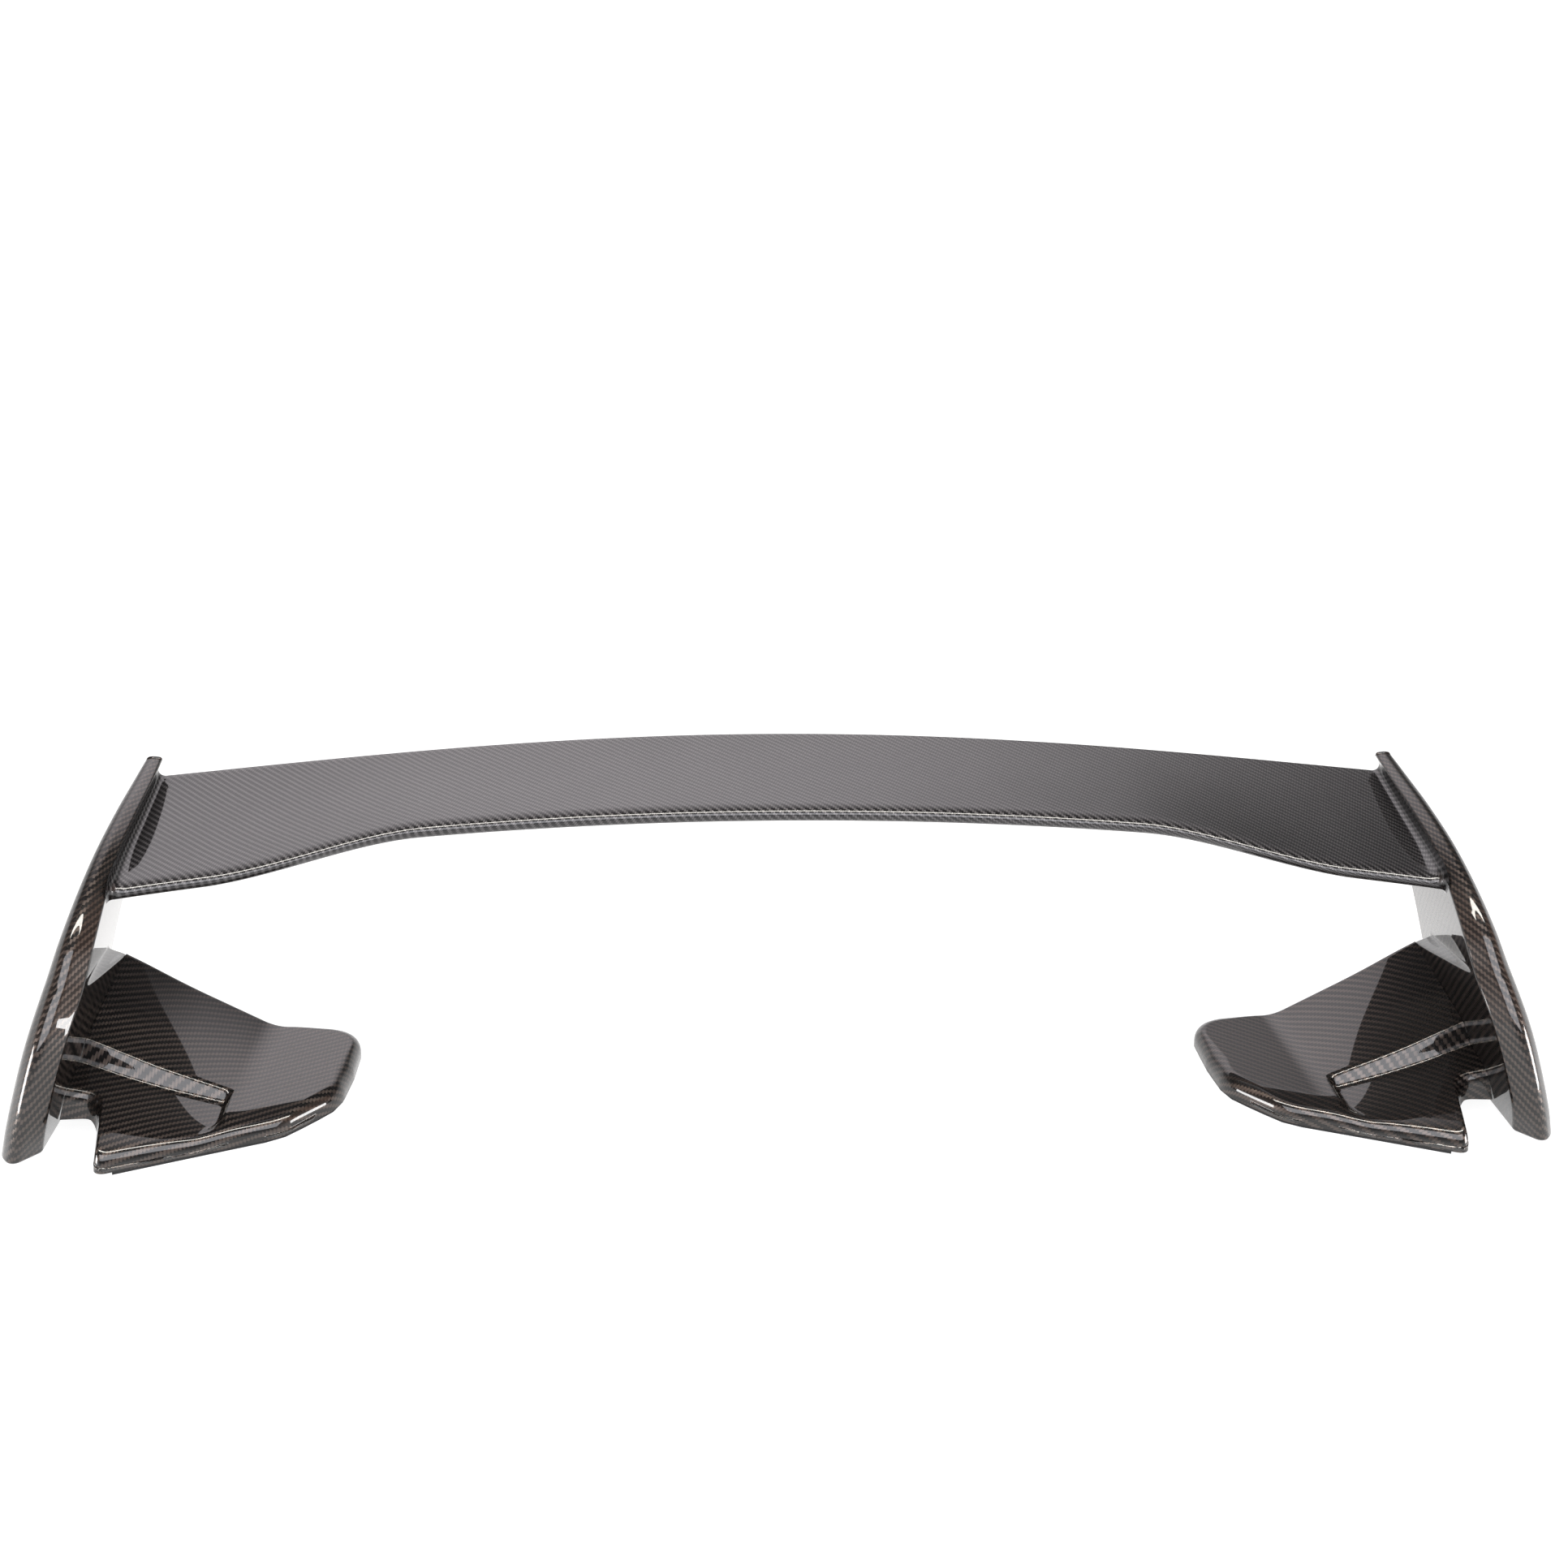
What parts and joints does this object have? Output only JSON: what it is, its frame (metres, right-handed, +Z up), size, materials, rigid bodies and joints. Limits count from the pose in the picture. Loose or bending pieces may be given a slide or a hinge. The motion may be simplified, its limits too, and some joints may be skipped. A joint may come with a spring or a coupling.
{
  "type": "racing rear wing",
  "caption": "Low, wide rear wing in glossy carbon: an arched blade between two swept, inward-leaning end fins on wedge-shaped bolt-down feet.",
  "frame": {"origin": "middle of the wing's bounding box, at the underside of the feet", "axes": "+X to the right across the car, +Y towards the rear of the car, +Z up"},
  "size_m": [1.3716, 0.369, 0.2717],
  "materials": {
    "carbon": "twill carbon fibre under a high-gloss clear coat",
    "carbon_inner": "bare carbon laminate, matt",
    "aluminium": "milled, satin",
    "steel": "zinc plated, satin",
    "rubber": "matt black sheet"
  },
  "bodies": {
    "root": {"blade_lower_skin": "carbon", "blade_spar": "carbon_inner", "blade_upper_skin": "carbon", "fin_bottom_cap_left": "carbon", "fin_bottom_cap_right": "carbon", "fin_inner_skin_left": "carbon", "fin_inner_skin_right": "carbon", "fin_outer_skin_left": "carbon", "fin_outer_skin_right": "carbon", "fin_root_block_left": "aluminium", "fin_root_block_right": "aluminium", "foot_base_plate_left": "aluminium", "foot_base_plate_right": "aluminium", "foot_bracket_left": "aluminium", "foot_bracket_right": "aluminium", "foot_gasket_left": "rubber", "foot_gasket_right": "rubber", "foot_shell_left": "carbon", "foot_shell_right": "carbon", "mount_insert_inner_left": "steel", "mount_insert_inner_right": "steel", "mount_insert_outer_left": "steel", "mount_insert_outer_right": "steel", "root_screw_front_left": "steel", "root_screw_front_right": "steel", "root_screw_rear_left": "steel", "root_screw_rear_right": "steel"}
  },
  "joints": []
}
